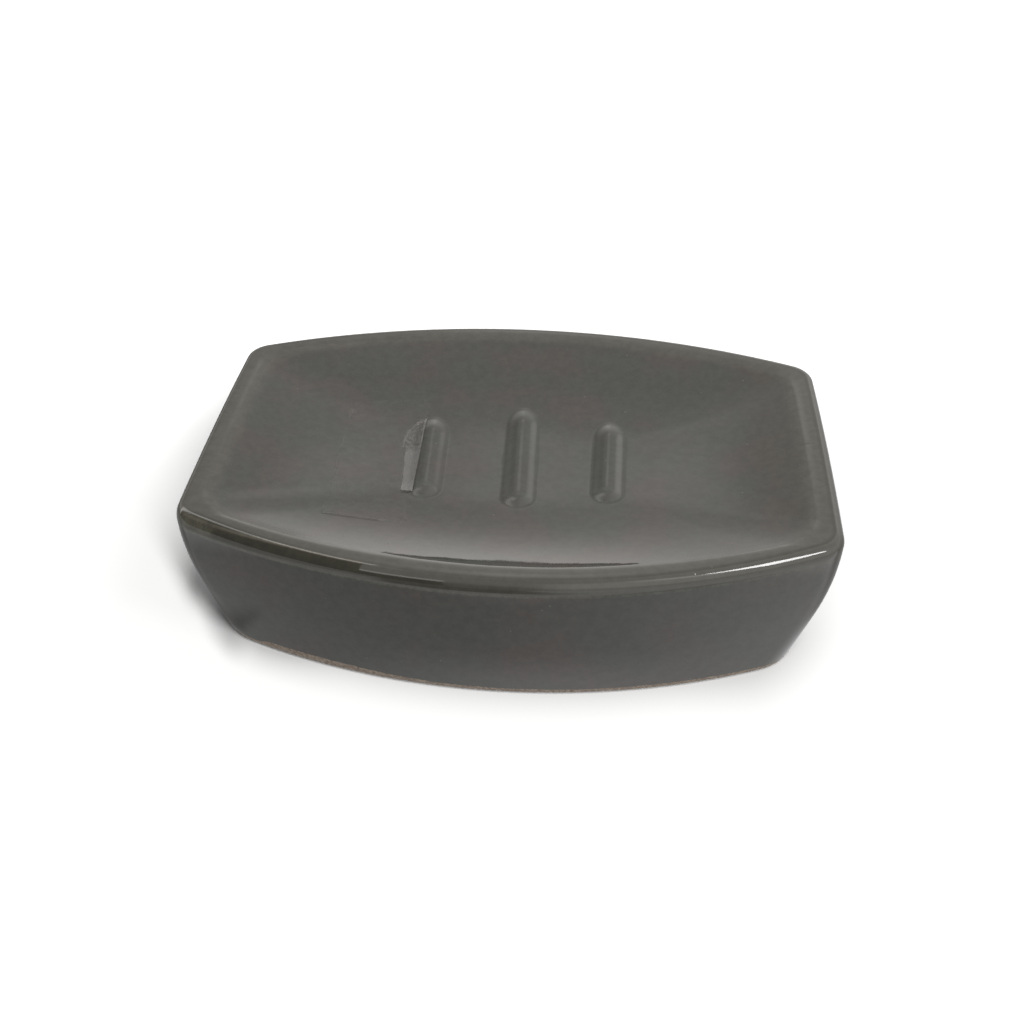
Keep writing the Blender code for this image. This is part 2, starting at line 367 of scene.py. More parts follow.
def storeWeights(mesh, name, rows):
    weights = mesh.attributes.new(name, "FLOAT", "POINT")
    weights.data.foreach_set("value", np.concatenate(rows).astype(np.float32))


def joinRows(shape, lower, upper):  # faces between two closed rows; a row of one point is a tip
    for i in range(len(lower)):
        corners = (lower[i - 1], lower[i], upper[i % len(upper)], upper[(i - 1) % len(upper)])
        shape.faces.new(list(dict.fromkeys(corners)))


farWay, midWay = 60.0, -40.0  # way on the underside, and in the middle of the tray


def bodySections():  # rings from the vent, over the foot, wall and rim, to the tray's middle
    lift, rimRadius, land = dish["footLift"], dish["rimRadius"], dish["landWidth"]
    recess = lift + dish["recessDepth"]
    ring, edge = dish["footRing"], dish["footEdge"]
    rings, ways = [], []

    def add(outline, height, way=farWay):  # way: distance from the rim's crown, to the tray negative
        rings.append(raised(outline, height))
        ways.append(np.broadcast_to(way, len(outline)))

    inner = footOutline(ring + edge)
    turns = np.arctan2(inner[:, 1], inner[:, 0])
    circle = np.column_stack([np.cos(turns), np.sin(turns)])
    vent = dish["ventRadius"]
    deep, (small, large), counts = dish["ventDepth"], dish["ventLip"], dish["rings"]
    mouth = vent + large
    for radius, height in ((vent, deep), (vent, deep / 2), (vent, large), (vent + small, small), (mouth, 0.0)):
        add(circle * radius, recess + height)
    for share in np.linspace(0.0, 1.0, counts["base"] + 1)[1:]:
        add(circle * mouth * (1 - share) + inner * share, recess)
    for turn in np.linspace(0.25, 1.0, 4) * math.pi / 2:  # down the inside of the foot ring
        add(footOutline(ring + edge - edge * math.sin(turn)), recess - edge * (1 - math.cos(turn)))
    for turn in np.linspace(0.0, 1.0, 5) * math.pi / 2:
        add(footOutline(ring - edge * (1 - math.cos(turn))), lift + edge * (1 - math.sin(turn)))
    for turn in np.linspace(0.0, 1.0, 7) * math.pi / 2:
        add(footOutline(edge * (1 - math.sin(turn))), lift + edge * (1 - math.cos(turn)))
    rim, foot = rimOutline(0.0), footOutline(0.0)
    drop = rimDrop(rim[:, 0])
    top = rimHeight(rim[:, 0]) - drop
    bend = (rimRadius + drop) * math.pi / 4
    for share in np.linspace(edge / dish["height"], 1.0, counts["wall"])[1:]:
        height = lift + (top - lift) * share
        add(foot + (rim - foot) * wallBlend(share), height, bend + top - height)
    for turn in np.linspace(0.0, 1.0, counts["bend"])[1:] * math.pi / 2:
        outline = rimOutline(rimRadius * (1 - math.cos(turn)))
        height = rimHeight(outline[:, 0]) - rimDrop(outline[:, 0]) * (1 - math.sin(turn))
        add(outline, height, bend * (1 - turn / (math.pi / 2)))
    crown = rimOutline(rimRadius)
    for share in np.linspace(0.0, 1.0, counts["land"])[1:]:
        outline = crown + (trayEdge - crown) * share
        fall = dish["landFall"] * share**2 + rollDrop(outline[:, 0], land * (1 - share))
        add(outline, rimHeight(outline[:, 0]) - fall, -land * share)
    reach, oval = trayReach(trayTurns)
    for share in np.linspace(1.0, 0.01, counts["tray"])[1:]:
        outline = trayEdge * (share * (share + (1 - share) * oval / reach))[:, None]
        add(outline, trayHeight(outline), -land + (1 - share) * midWay)
    return rings, ways


def buildBody(paint):
    rings, ways = bodySections()
    shape = bmesh.new()
    rows = [[shape.verts.new(point * mm) for point in ring] for ring in rings]
    for lower, upper in zip(rows, rows[1:]):
        joinRows(shape, lower, upper)
    for row, height in ((rows[0], rings[0][0, 2]), (rows[-1], trayHeight(np.zeros((1, 2)))[0])):
        joinRows(shape, row, [shape.verts.new((0.0, 0.0, height * mm))])
    mesh = smoothMesh(shape, "glazedBody")
    storeWeights(mesh, "rimWay", [*ways, [farWay, midWay]])
    return addPiece("glazedBody", mesh, paint, "dish_body")


# In the materials x, y and z are metres, and way is millimetres from the rim's crown.
glaze = {
    "green": colour(0.053, 0.056, 0.048),  # the glaze where it lies thick
    "red": colour(0.067, 0.055, 0.048),
    "brown": colour(0.066, 0.060, 0.047),  # over the right end
    "olive": colour(0.052, 0.049, 0.037),  # where it runs thin, over the crown and below it
    "land": colour(0.086, 0.081, 0.066),
    "corner": colour(0.112, 0.107, 0.080),
    "tan": colour(0.36, 0.33, 0.265),  # pale tan for the painted highlights along the rim's bend
    "lightSpeck": colour(0.24, 0.23, 0.20),
    "darkSpeck": colour(0.015, 0.014, 0.012),
    "paintedBlisterShadow": colour(0.040, 0.031, 0.022),
    # the blister's brown patch is a painted shadow beside it, and its light dot a painted highlight
    "paintedBlisterHighlight": colour(0.17, 0.17, 0.15),
    "scratched": colour(0.020, 0.019, 0.017),
    "brownEnd": (0.046, 0.062),  # along the dish, from none to full
    "brownAbove": (0.024, 0.03),
    "thinFrom": (-2.6, -0.6),  # along way, from none to full
    "thinTo": (4.4, 3.4),
    "landFrom": (0.2, -0.8),
    "landTo": (-5.2, -3.4),
    "roughness": 0.035,
    "wornBy": 0.26,  # what the next ones add to it
    "scratchedBy": 0.25,
    "bareBy": 0.75,
    "wornCorner": (-63.4, -28.6, 31.0),  # millimetres, as the next three are
    "wornRib": (-0.6, 2.2, 26.0),  # from the rib's front end
    "blister": (60.5, 25.1, 31.0),
    "scratches": (((60.0, 1.2), (64.9, 1.9)), ((57.2, -27.0), (62.6, -21.0))),
}

clay = {
    "pale": colour(0.42, 0.35, 0.28),
    "grit": colour(0.21, 0.16, 0.13),
    "line": 1.12,  # height of the glaze line over the foot, and how far its deepest bay goes over that
    "bay": 1.02,
    "bayStart": (-0.0525, -0.049),
    "bayEnd": (-0.038, -0.008),
}


def scratchMask(paint, x, y, start, end):
    length = math.hypot(end[0] - start[0], end[1] - start[1])
    ux, uy = (end[0] - start[0]) / length, (end[1] - start[1]) / length
    along = (x - start[0] * mm) * ux + (y - start[1] * mm) * uy
    across = (x - start[0] * mm) * -uy + (y - start[1] * mm) * ux
    line = paint.hump(across, 0.0, 0.22 * mm)
    return line * paint.hump(along, length * 0.5 * mm, length * 0.55 * mm)


def cloudedGlaze(paint, x, z):  # broad clouds, and a browner right end
    cloud = paint.spread(paint.noise(62, 4, 0.6), 0.40, 0.66)
    body = paint.blend(cloud, glaze["green"], glaze["red"])
    endCloud = paint.noise(55, 3, 0.5)
    brown = paint.spread(x + (endCloud - 0.5) * 0.03, *glaze["brownEnd"]) * paint.spread(z, *glaze["brownAbove"])
    return paint.blend(brown * 0.75, body, glaze["brown"])


def thinGlaze(paint, x, y, way, body):  # over the rim, with a wandering edge
    wander = (paint.noise(260, 3) - 0.5) * 1.6
    reach = 1.6 * paint.spread(x, -0.015, -0.055) + 0.9 * paint.spread(x, 0.02, 0.05)
    thin = paint.spread(way + wander + reach, *glaze["thinFrom"]) * paint.spread(way + wander * 0.5, *glaze["thinTo"])
    body = paint.blend(thin, body, glaze["olive"])
    atEnd = paint.spread(x, -0.0605, -0.0635) * paint.spread(y, -0.034, -0.028) * 3.0
    land = paint.spread(way + wander * 0.3 - atEnd, *glaze["landFrom"])
    land = land * paint.spread(way + wander * 0.4, *glaze["landTo"])
    body = paint.blend(land, body, glaze["land"])
    corner = paint.spread(x, -0.0565, -0.0595) * paint.spread(y, -0.024, -0.031) * paint.hump(way, 2.4, 2.6)
    corner = corner * paint.spread(paint.noise(700, 4, 0.6), 0.3, 0.6, 0.35, 1.0)
    body = paint.blend(corner, body, glaze["corner"])
    # two pale tan lines painted on: a painted highlight along the crown at the left, and a weak painted highlight
    # under the bend
    outwards = paint.spread(x, -0.036, -0.061, 0.35, 1.3)
    paintedCrownHighlight = paint.hump(way + wander * 0.12 - outwards, 0.0, 0.6)
    paintedCrownHighlight = paintedCrownHighlight * paint.spread(paint.noise(420, 4, 0.6), 0.3, 0.6, 0.55, 1.0)
    paintedCrownHighlight = paintedCrownHighlight * paint.spread(x, -0.060, -0.045, 0.5, 1.0) * paint.spread(x, -0.034, -0.016, 1.0, 0.1)
    low = paint.hump(way + wander * 0.05, 3.9, 0.5) * paint.spread(paint.noise(900, 3, 0.6), 0.38, 0.62)
    return paint.blend(paintedCrownHighlight * 0.34 + low * 0.10, body, glaze["tan"])


def footClay(paint, x, z, way):  # unglazed along the foot, deepest under the front left, and not in the recess
    bay = paint.spread(x, *clay["bayStart"]) * paint.spread(x, *clay["bayEnd"], 1.0, 0.12)
    line = (dish["footLift"] + clay["line"]) * mm + bay * (clay["bay"] * mm)
    ragged = (paint.noise(380, 4, 0.6) - 0.5) * 0.0007
    bare = paint.spread(z + ragged - line, 0.00012, -0.00012)
    recess = paint.spread(way, 40, 50) * paint.spread(z, 0.0019, 0.00195)
    return bare * (1 - recess)


def wornGlaze(paint, x, way):  # duller at the left corner, along the tray beside it, and on the ribs' front ends
    worn = paint.near(glaze["wornCorner"], 2.0, 1.4) + paint.spread(x, -0.034, -0.044) * paint.hump(way, -4.3, 2.4)
    stepX, stepY, height = glaze["wornRib"]
    for rib in ribs:
        frontX, frontY = rib["front"]
        worn = worn + paint.near((frontX + stepX, frontY + stepY, height), 2.9, 1.2)
    return worn


def glazePaint():
    paint = newPaint("darkGlaze")
    x, y, z = paint.axes(paint.place())
    way = paint.weight("rimWay")
    body = thinGlaze(paint, x, y, way, cloudedGlaze(paint, x, z))
    mottle = paint.spread(paint.noise(520, 5, 0.7), 0.32, 0.68, 0.86, 1.14)
    body = paint.blend(1.0, body, mottle, "MULTIPLY")
    # small light and dark specks, one blister with a painted highlight on it and a painted shadow beside it, and two
    # scratches
    light = paint.spread(paint.cells(210), 0.045, 0.02)
    dark = paint.spread(paint.cells(150), 0.035, 0.015)
    body = paint.blend(light * 0.45, body, glaze["lightSpeck"])
    body = paint.blend(dark * 0.6, body, glaze["darkSpeck"])
    blisterX, blisterY, blisterZ = glaze["blister"]
    # a painted shadow just beside the blister, then a painted highlight on it
    paintedBlisterShadow = paint.near((blisterX + 0.5, blisterY - 1.0, blisterZ), 1.3, 0.9)
    body = paint.blend(paintedBlisterShadow * 0.45, body, glaze["paintedBlisterShadow"])
    blister = paint.near(glaze["blister"], 0.45, 0.35)
    body = paint.blend(blister * 0.5, body, glaze["paintedBlisterHighlight"])
    first, second = (scratchMask(paint, x, y, *ends) for ends in glaze["scratches"])
    scratched = (first + second) * paint.spread(z, 0.02, 0.022)
    body = paint.blend(scratched * 0.55, body, glaze["scratched"])
    bare = footClay(paint, x, z, way)
    grit = paint.spread(paint.noise(1500, 4, 0.7), 0.35, 0.65)
    body = paint.blend(bare, body, paint.blend(grit, clay["pale"], clay["grit"]))
    # surface: slow ripple, orange peel, pinholes, and sanded clay
    ripple = paint.bump(paint.noise(130, 2, 0.4), 0.000045)
    peel = paint.bump(paint.noise(650, 2, 0.5), 0.000004, 1.0, ripple)
    pits = paint.bump(1 - light * 0.6 - dark * 0.8 + blister * 0.9 - scratched * 0.3, 0.00003, 1.0, peel)
    grain = paint.bump(paint.noise(3200, 3, 0.7) * bare, 0.00012, 0.7, pits)
    dull = paint.spread(paint.noise(48, 3, 0.6), 0.4, 0.7, 0.0, 0.04) * paint.spread(way, -3.0, -7.0)
    rough = glaze["roughness"] + bare * glaze["bareBy"] + dull
    rough = rough + wornGlaze(paint, x, way) * glaze["wornBy"] + scratched * glaze["scratchedBy"]
    return paint.surface({"Base Color": body, "Roughness": rough, "IOR": 1.55, "Normal": grain})


dishBody = buildBody(glazePaint())
print("glazed body:", len(dishBody.data.polygons), "faces")


film = {
    "corners": ((-38.3, -25.1), (-20.8, -25.9), (-21.8, 20.9), (-39.6, 17.4)),
    "steps": (72, 170),
    "lift": 0.32,
    "thickness": 0.06,
    "frontLift": (0.4, 6.0),  # share of the lift at the front edge, and how fast it grows
    "stand": 0.16,  # how far the next two stand off
    "crease": 0.05,
    "lifted": (12.1, 28.2, 2.6),  # stretch that stands off the rib's flank: from, to, reach from the right edge
    "creased": (28.4, 10.6, 4.3),  # creased corner: start, length, reach from the right edge
    # pale: a painted sheen where air is caught, along creases and edges; dark: a painted shade line along the front
    # edge
    "pale": colour(0.50, 0.48, 0.46),
    "dark": colour(0.018, 0.017, 0.016),
    "clear": 0.012,  # alpha where it is bonded
    "air": (0.19, 0.09),  # alpha of the lifted stretch, and what its foot adds
    "folds": (0.03, 0.085),  # alpha of the creased corner, and what its creases add
    "foldEdge": (0.05, 0.13),
    "rightEdge": (0.07, 0.13),
    "leftEdge": 0.05,
    "frontEdge": 0.5,
    "blobs": (((-34.3, -18.3, 26.6), 0.45, 0.35, 0.2), ((-21.4, -21.4, 26.4), 0.28, 0.2, 0.5)),  # of glue
}


def filmLift(right, front):
    start, end, reach = film["lifted"]
    stand = np.clip((front - start) / 1.5, 0, 1) * np.clip((end - front) / 3, 0, 1)
    stand = stand * np.clip(1 - right / reach, 0, 1)
    begin, length, span = film["creased"]
    inside = np.clip(1.2 - (right / span) ** 2 - ((front - begin) / length) ** 2, 0, 1) * (front > begin)
    creases = np.sin(1.9 * right + 0.9 * front) * np.sin(0.8 * right - 1.7 * front + 0.6)
    first, growth = film["frontLift"]
    lift = film["lift"] * np.clip(first + front / growth, 0, 1)
    return lift + film["stand"] * stand + film["crease"] * inside * (0.5 + creases)


def buildFilm(paint):
    across, along = film["steps"]
    frontLeft, frontRight, backRight, backLeft = (np.array(point) for point in film["corners"])
    shape = bmesh.new()
    rows, rights, fronts = [], [], []
    for share in np.linspace(0, 1, along + 1):
        left = frontLeft + (backLeft - frontLeft) * share
        right = frontRight + (backRight - frontRight) * share
        line = left + (right - left) * np.linspace(0, 1, across + 1)[:, None]
        fromRight = np.linspace(1, 0, across + 1) * np.linalg.norm(right - left)
        fromFront = np.full(across + 1, share * np.linalg.norm(backRight - frontRight))
        height = trayHeight(line) + filmLift(fromRight, fromFront)
        rows.append([shape.verts.new(point * mm) for point in raised(line, height)])
        rights.append(fromRight)
        fronts.append(fromFront)
    for lower, upper in zip(rows, rows[1:]):
        for i in range(across):
            shape.faces.new((lower[i], lower[i + 1], upper[i + 1], upper[i]))
    mesh = smoothMesh(shape, "labelFilm")
    for name, values in (("fromRight", rights), ("fromFront", fronts)):
        storeWeights(mesh, name, values)
    piece = addPiece("labelFilm", mesh, paint, "label_film")
    solid = piece.modifiers.new("thickness", "SOLIDIFY")
    solid.thickness = film["thickness"] * mm
    solid.offset = 1.0
    return piece


def caughtAir(paint, right, front, wander):  # the stretch beside the rib, with a painted pale sheen where air is caught
    start, end, reach = film["lifted"]
    foot = paint.spread(front + wander * 1.5, start, start + 0.5)
    inner = right + wander - paint.spread(front, start, end, 0.0, 0.9)
    caught = foot * paint.spread(front, end + 1.5, end - 2.5) * paint.spread(inner, reach + 0.1, reach - 0.3)
    level, more = film["air"]
    return caught * (level + paint.spread(front, start + 4.5, start + 1.5) * more)


def creasedCorner(paint, right, front, wander):  # its alpha, a painted pale sheen along the creases and the oval's bound, and the creases alone for the bump
    begin, length, span = film["creased"]
    across, along = right * (1 / span), (front - begin) * (1 / length)
    oval = across * across + along * along + wander * 0.1
    above = paint.spread(front, begin - 0.6, begin + 0.4)
    creases = paint.spread(paint.noise(1100, 3, 0.6), 0.47, 0.64)
    level, more = film["folds"]
    creased = paint.spread(oval, 1.0, 0.92) * above * (level + creases * more)
    bound = paint.hump(oval, 1.0, 0.2) * above * paint.spread(paint.noise(500, 2), 0.35, 0.6, *film["foldEdge"])
    return creased + bound, creases * above


def filmEdges(paint, right, front):  # painted pale highlights along both sides
    rightEdge = paint.spread(right, 0.5, 0.24) * paint.spread(front, 40.2, 38.6) * paint.spread(front, 27.5, 29)
    level, more = film["rightEdge"]
    rightEdge = rightEdge * (level + paint.spread(paint.noise(900, 2), 0.4, 0.6) * more)
    frontLeft, frontRight = film["corners"][:2]
    width = math.hypot(frontRight[0] - frontLeft[0], 0.2)
    leftEdge = paint.hump(right, width, 0.35) * paint.spread(paint.noise(260, 2), 0.54, 0.66)
    return rightEdge + leftEdge * film["leftEdge"]


def filmPaint():  # clear where it is bonded; a painted pale sheen where air is caught, along creases and edges, and a painted dark shade line along the front edge
    paint = newPaint("clearFilm")
    right, front = paint.weight("fromRight"), paint.weight("fromFront")
    wander = paint.noise(420, 3, 0.6) - 0.5
    corner, creases = creasedCorner(paint, right, front, wander)
    # a painted dark shade line along the front edge
    frontEdge = paint.hump(front, 0.1, 0.15) * paint.spread(right, 4.5, 6.0)
    frontEdge = frontEdge * paint.spread(paint.noise(300, 2), 0.3, 0.5, 0.75, 1.0)
    alpha = film["clear"] + caughtAir(paint, right, front, wander) + corner + filmEdges(paint, right, front)
    for place, reach, soft, share in film["blobs"]:
        alpha = alpha + paint.near(place, reach, soft) * share
    alpha = alpha + frontEdge * film["frontEdge"]
    tone = paint.blend(frontEdge, film["pale"], film["dark"])
    crinkle = paint.bump(creases, 0.00002, 0.4)
    rough = 0.18 + paint.noise(700, 3) * 0.15 + frontEdge * 0.4
    return paint.surface({"Base Color": tone, "Roughness": rough, "Alpha": alpha, "Normal": crinkle})


labelFilm = buildFilm(filmPaint())
print("label film:", len(labelFilm.data.polygons), "faces")


pad = {
    "radius": 4.0,
    "height": 1.7,
    "edge": 0.5,
    "bevel": 0.15,
    "dome": 0.12,
    "steps": 48,
    "clean": colour(0.60, 0.61, 0.60),
    "hazy": colour(0.68, 0.67, 0.63),
    "dust": colour(0.22, 0.20, 0.18),
}


def padProfile():  # half section, from the middle of the glued face to the middle of the underside
    radius, height, edge, bevel, dome = (pad[key] for key in ("radius", "height", "edge", "bevel", "dome"))
    profile = [(0.0, height), (radius - bevel, height), (radius, height - bevel)]
    for turn in np.linspace(0.0, 1.0, 7) * math.pi / 2:
        profile.append((radius - edge + edge * math.cos(turn), edge * (1 - math.sin(turn)) + dome))
    for share in (0.8, 0.6, 0.4, 0.2):
        profile.append(((radius - edge) * share, dome * share**2))
    return profile + [(0.0, 0.0)]


def buildPad(name, paint):
    low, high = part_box(name)
    centre = (low + high) / 2
    turns = np.linspace(0, 2 * math.pi, pad["steps"], endpoint=False)
    circle = np.column_stack([np.cos(turns), np.sin(turns)])
    shape = bmesh.new()
    rows = []
    for reach, height in padProfile():
        row = circle[:1] * 0.0 if reach == 0.0 else circle * reach
        rows.append([shape.verts.new((centre.x + x * mm, centre.y + y * mm, height * mm)) for x, y in row])
    joinRows(shape, rows[1], rows[0])
    for lower, upper in zip(rows[1:], rows[2:]):
        joinRows(shape, lower, upper)
    return addPiece(name.replace("pad_", "clearPad_"), smoothMesh(shape, name), paint, name)


def padPaint():  # clear rubber: small bubbles inside, dust and lint caught on the sticky side
    paint = newPaint("clearRubber")
    x, y, z = paint.axes(paint.place())
    bubbles = paint.spread(paint.cells(1400), 0.2, 0.1)
    dust = paint.spread(paint.noise(2600, 4, 0.7), 0.56, 0.68) * paint.spread(z, 0.0012, 0.0016)
    haze = paint.spread(paint.noise(700, 3, 0.5), 0.35, 0.7)
    tone = paint.blend(dust * 0.7, paint.blend(haze, pad["clean"], pad["hazy"]), pad["dust"])
    alpha = 0.42 + haze * 0.12 + dust * 0.3 + bubbles * 0.2
    rough = 0.24 + haze * 0.14 + dust * 0.3
    dents = paint.bump(1 - bubbles * 0.5 + paint.noise(1800, 2, 0.5) * 0.2, 0.00002, 0.7)
    return paint.surface({"Base Color": tone, "Roughness": rough, "Alpha": alpha, "Normal": dents})


rubber = padPaint()
for nodeName in ("pad_front_left", "pad_front_right", "pad_back_left", "pad_back_right"):
    buildPad(nodeName, rubber)
print("pads: 4")


def addPlane(name, size, place, paint):
    shape = bmesh.new()
    bmesh.ops.create_grid(shape, x_segments=1, y_segments=1, size=size / 2)
    mesh = bpy.data.meshes.new(name)
    shape.to_mesh(mesh)
    shape.free()
    plane = bpy.data.objects.new(name, mesh)
    plane.location = place
    scene.collection.objects.link(plane)
    mesh.materials.append(paint)
    return plane


floor = {
    "size": 6.0,
    "pale": colour(0.25, 0.25, 0.25),  # the sheet where a lamp lights it
    "tint": colour(1, 0.997, 0.99),
    "glow": (0.1, 1.0),  # its own light to the camera, beside the foot and far off
    "glowRise": (0.025, 0.12),
    "contact": (0.24, 0.42, 0.32),  # extra shade along the foot, at its left and at its right
    "reach": (0.0085, 0.013),  # how far it goes, in metres, and how far at the right
    "cornerShade": 0.36,  # more of it at the front left corner
    "bounce": 0.45,  # what it throws back on to the dish
    "shadedSheet": 0.56,  # levels that the glaze mirrors, in the order of mirroredSheet
    "footLine": 0.5,
    "towardsRight": 0.46,
    "openSheet": (0.15, 0.52),
    "sheetEdge": 0.36,
    "darkened": {"left": 0.45, "beyond": 0.6, "corner": 0.65},
    "foot": {"side": 0.0338, "bow": 3.25, "end": 0.05, "corner": 0.012},  # outline of the foot
}


def fromFoot(paint, x, y):  # distance from the foot's outline
    foot = floor["foot"]
    toSide = paint.math("MAXIMUM", paint.math("ABSOLUTE", y) - foot["side"] + x * x * foot["bow"], 0.0)
    toEnd = paint.math("MAXIMUM", paint.math("ABSOLUTE", x) - foot["end"], 0.0)
    return paint.math("SQRT", toSide * toSide + toEnd * toEnd) - foot["corner"]


def contactShade(paint, x, y, away):  # 1 in the open, less along the foot
    atLeft = paint.spread(x, -0.03, -0.05)
    atRight = paint.spread(x, 0.03, 0.055)
    plainShade, leftShade, rightShade = floor["contact"]
    contact = plainShade + atLeft * (leftShade - plainShade) + atRight * (rightShade - plainShade)
    nearReach, rightReach = floor["reach"]
    beside = 1 - away * (1 / nearReach) + atRight * away * (1 / nearReach - 1 / rightReach)
    beside = paint.math("MINIMUM", paint.math("MAXIMUM", beside, 0.0), 1.0)
    atCorner = paint.spread(y, -0.022, -0.029) * paint.spread(x, -0.053, -0.060) * paint.spread(away, 0.0095, 0.002)
    return (1 - contact * beside ** 1.5) * (1 - atCorner * floor["cornerShade"])


def mirroredSheet(paint, x, y, away):  # a paler foot line, a shaded part, the open part and its edge
    darkened = floor["darkened"]
    footLine = paint.spread(away, 0.011, 0.001) * paint.hump(x, 0.008, 0.054) * floor["footLine"]
    sheet = floor["shadedSheet"] + footLine + paint.spread(x, -0.03, 0.08) * floor["towardsRight"]
    middle = paint.hump(x, 0.0, 0.05) * 0.012  # the open part comes closer there
    openPart = paint.spread(x, -0.125, -0.09, *floor["openSheet"])
    sheet = sheet + paint.spread(away + middle, 0.038, 0.058) * openPart
    edge = paint.spread(away, 0.078, 0.090) * paint.spread(x - y * 0.45, -0.012, 0.006)
    edge = edge * paint.spread(x, 0.045, -0.005) * paint.spread(y, 0.02, -0.03)
    besideLeft = paint.spread(x, -0.058, -0.064) * paint.spread(y, -0.036, -0.026)
    besideRight = paint.spread(x, 0.054, 0.076) * paint.spread(y, -0.040, -0.022)
    beyond = paint.math("MINIMUM", besideRight + paint.spread(y, 0.05, 0.07), 1.0)
    corner = paint.spread(away, 0.014, 0.002) * paint.spread(x, -0.056, -0.061)
    sheet = sheet * (1 - edge) + edge * floor["sheetEdge"]
    sheet = sheet * (1 - besideLeft * darkened["left"]) * (1 - beyond * darkened["beyond"])
    return sheet * (1 - corner * darkened["corner"])


def floorPaint():
    paint = newPaint("paleFloor")
    x, y, z = paint.axes(paint.place())
    away = fromFoot(paint, x, y)
    path = paint.node("ShaderNodeLightPath", take="Is Camera Ray")
    mirror = path.other("Is Glossy Ray") + path.other("Is Transmission Ray")
    tone = paint.blend(contactShade(paint, x, y, away), colour(0, 0, 0), floor["tint"])
    plain = paint.node("ShaderNodeBsdfDiffuse", None, {"Color": paint.blend(1.0, tone, floor["pale"], "MULTIPLY")})
    shine = paint.blend(1.0, tone, paint.spread(away, *floor["glowRise"], *floor["glow"]), "MULTIPLY")
    white = paint.node("ShaderNodeEmission", None, {"Color": shine})
    seen = paint.node("ShaderNodeAddShader", None, {0: plain, 1: white})
    other = mirror * mirroredSheet(paint, x, y, away) + (1 - mirror) * floor["bounce"]
    glow = paint.node("ShaderNodeEmission", None, {"Color": paint.blend(1.0, colour(1, 1, 1), other, "MULTIPLY")})
    paint.output(paint.node("ShaderNodeMixShader", None, {0: path, 1: glow, 2: seen}))
    paint.owner.cycles.emission_sampling = "NONE"
    return paint.owner


paleFloor = addPlane("floor", floor["size"], (0, 0, 0), floorPaint())

studio = {
    "level": 0.5,  # what the room gives to plain surfaces
    "tint": colour(1.0, 0.972, 0.935),
    "walls": 0.80,
    "paler": (  # stretches of wall: turns from none to full, rises likewise or None, what they add
        ((-30, 2), None, 0.2),
        ((60, 110), None, 0.4),
        ((19, 28), (8, 24), 0.6),
        ((-45, -75), (22, 42), 0.6),
        ((-120, -175), None, 0.5),
    ),
    "ceiling": 1.5,
    "blocks": (  # darker things at the left front: along the rim, limit, lowest lean, shade, rim light and its reach
        {"along": (0.997, -0.075), "limit": -0.155, "lean": 68.0, "shade": 0.12, "edge": 1.8, "reach": 9.0},
        {"along": (0.982, -0.187), "limit": -0.281, "lean": -10.0, "shade": 0.12, "edge": 2.7, "reach": 15.0},
    ),
    "window": {"turn": 119.4, "rise": 54.0, "away": 1.0, "size": (0.215, 0.29), "strength": 17.0},
    "key": {"turn": 148.0, "rise": 54.0, "away": 4.0, "size": (0.48, 3.2), "strength": 134.0},
}


def mirroredWalls(sky, x, y, turn, rise):  # turn and rise in degrees
    around = studio["walls"]
    for turns, rises, paler in studio["paler"]:
        share = sky.spread(turn, *turns)
        if rises:
            share = share * sky.spread(rise, *rises)
        around = around + share * paler
    # behind the dish: darker towards the left, a paler patch over the middle and along the foot of the wall
    around = around - sky.spread(turn, -2, -10) * sky.hump(rise, 28, 14) * 0.15
    around = around - sky.spread(turn, -14, -26) * sky.spread(turn, -75, -45) * 0.08
    around = around + sky.hump(turn, -4, 7) * sky.hump(rise, 35, 6) * 0.4
    low = sky.spread(rise, 26, 6) * sky.spread(y, 0.6, 0.9)
    around = around + low * sky.spread(turn, -16, -4, 0.05, 0.55) * sky.spread(turn, -5.5, 2.5, 1.0, 0.15)
    # overhead, and in front at the left
    above = sky.spread(rise, 54, 70)
    walls = around * (1 - above) + above * sky.spread(x, -0.1, 0.25, 1.1, 1.6)
    front = sky.spread(y, -0.15, -0.5) * sky.spread(x, 0.14, -0.05)
    return walls * (1 - front) + front * sky.spread(rise, 8, 40, 0.55, 1.15)


def withBlocks(sky, x, y, z, mirrored):
    for block in studio["blocks"]:
        alongX, alongY = block["along"]
        side = x * alongX + y * alongY
        lean = sky.math("ARCTAN2", x * alongY - y * alongX, z) * (180 / math.pi)
        beside = sky.spread(side, block["limit"] + 0.003, block["limit"] - 0.003)
        rim = beside * sky.hump(lean, block["lean"] - block["reach"] + 1.5, block["reach"])
        inside = beside * sky.spread(lean, block["lean"] - 1.5, block["lean"] + 1.5)
        mirrored = (mirrored + rim * block["edge"]) * (1 - inside) + inside * block["shade"]
    return mirrored


def paintRoom():  # the room that the glaze mirrors: pale walls, darker furniture at the left front
    sky = Paint(bpy.data.worlds.new("studio"))
    x, y, z = sky.axes(sky.node("ShaderNodeTexCoord", take="Generated"))
    turn = sky.math("ARCTAN2", x, y) * (180 / math.pi)
    rise = sky.math("ARCSINE", z) * (180 / math.pi)
    mirrored = withBlocks(sky, x, y, z, mirroredWalls(sky, x, y, turn, rise))
    ceiling = sky.hump(turn, 140, 22) * sky.hump(rise, 60, 14)
    mirrored = mirrored + ceiling * studio["ceiling"]
    path = sky.node("ShaderNodeLightPath", take="Is Camera Ray")
    glossy = path.other("Is Glossy Ray") + path.other("Is Transmission Ray")
    level = studio["level"]
    strength = level + path * (1 - level) + glossy * (mirrored - level)
    tone = sky.blend(glossy, colour(1, 1, 1), studio["tint"])
    shine = sky.node("ShaderNodeBackground", None, {"Color": sky.blend(1.0, tone, strength, "MULTIPLY")})
    sky.output(shine, "ShaderNodeOutputWorld")
    scene.world = sky.owner


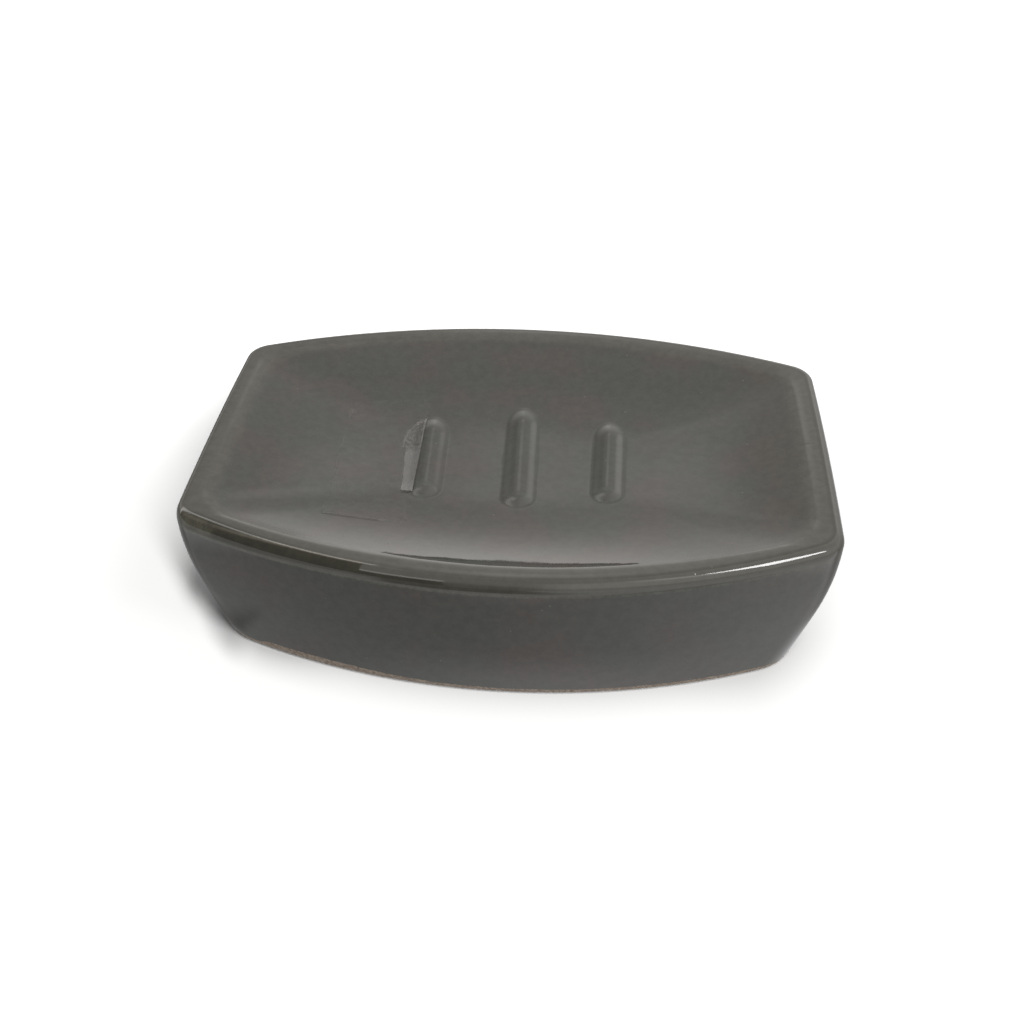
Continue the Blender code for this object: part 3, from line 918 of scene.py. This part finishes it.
def direction(turn, rise):  # turn 0 is behind the dish, 90 at its right
    turn, rise = math.radians(turn), math.radians(rise)
    return Vector((math.sin(turn) * math.cos(rise), math.cos(turn) * math.cos(rise), math.sin(rise)))


def addLamp(name, only=None):
    made = studio[name]
    lamp = bpy.data.lights.new(name, "AREA")
    lamp.shape = "RECTANGLE"
    lamp.size, lamp.size_y = made["size"]
    lamp.energy = made["strength"] * math.pi * lamp.size * lamp.size_y
    holder = bpy.data.objects.new(name, lamp)
    towards = direction(made["turn"], made["rise"])
    holder.location = towards * made["away"]
    holder.rotation_euler = towards.to_track_quat("Z", "Y").to_euler()
    holder.visible_camera = False
    scene.collection.objects.link(holder)
    if only:  # a lamp that lights one thing, and leaves the glaze as it is
        lit = bpy.data.collections.new(name + "Lights")
        lit.objects.link(only)
        holder.light_linking.receiver_collection = lit
        holder.visible_glossy = False


paintRoom()
addLamp("window")
addLamp("key", paleFloor)
print("room lit")

view = {
    "azimuth": 4.786,
    "elevation": 38.698,
    "roll": -0.155,
    "lens": 43.06,
    "target": (-0.436, -5.572, 15.5),
    "distance": 273.2,
    "sensor": 36.0,
    "clip": (0.01, 20.0),
}


def addCamera():
    turn, lift, roll = (math.radians(view[key]) for key in ("azimuth", "elevation", "roll"))
    back = Vector((math.sin(turn) * math.cos(lift), -math.cos(turn) * math.cos(lift), math.sin(lift)))
    right = Vector((math.cos(turn), math.sin(turn), 0.0))
    up = back.cross(right)
    side = right * math.cos(roll) + up * math.sin(roll)
    top = up * math.cos(roll) - right * math.sin(roll)
    lens = bpy.data.cameras.new("camera")
    lens.sensor_width = view["sensor"]
    lens.lens = view["lens"]
    lens.clip_start, lens.clip_end = view["clip"]
    camera = bpy.data.objects.new("camera", lens)
    scene.collection.objects.link(camera)
    turned = Matrix((side, top, back)).transposed().to_4x4()
    turned.translation = (Vector(view["target"]) + back * view["distance"]) * mm
    camera.matrix_world = turned
    scene.camera = camera


addCamera()
scene.view_settings.view_transform = "Standard"
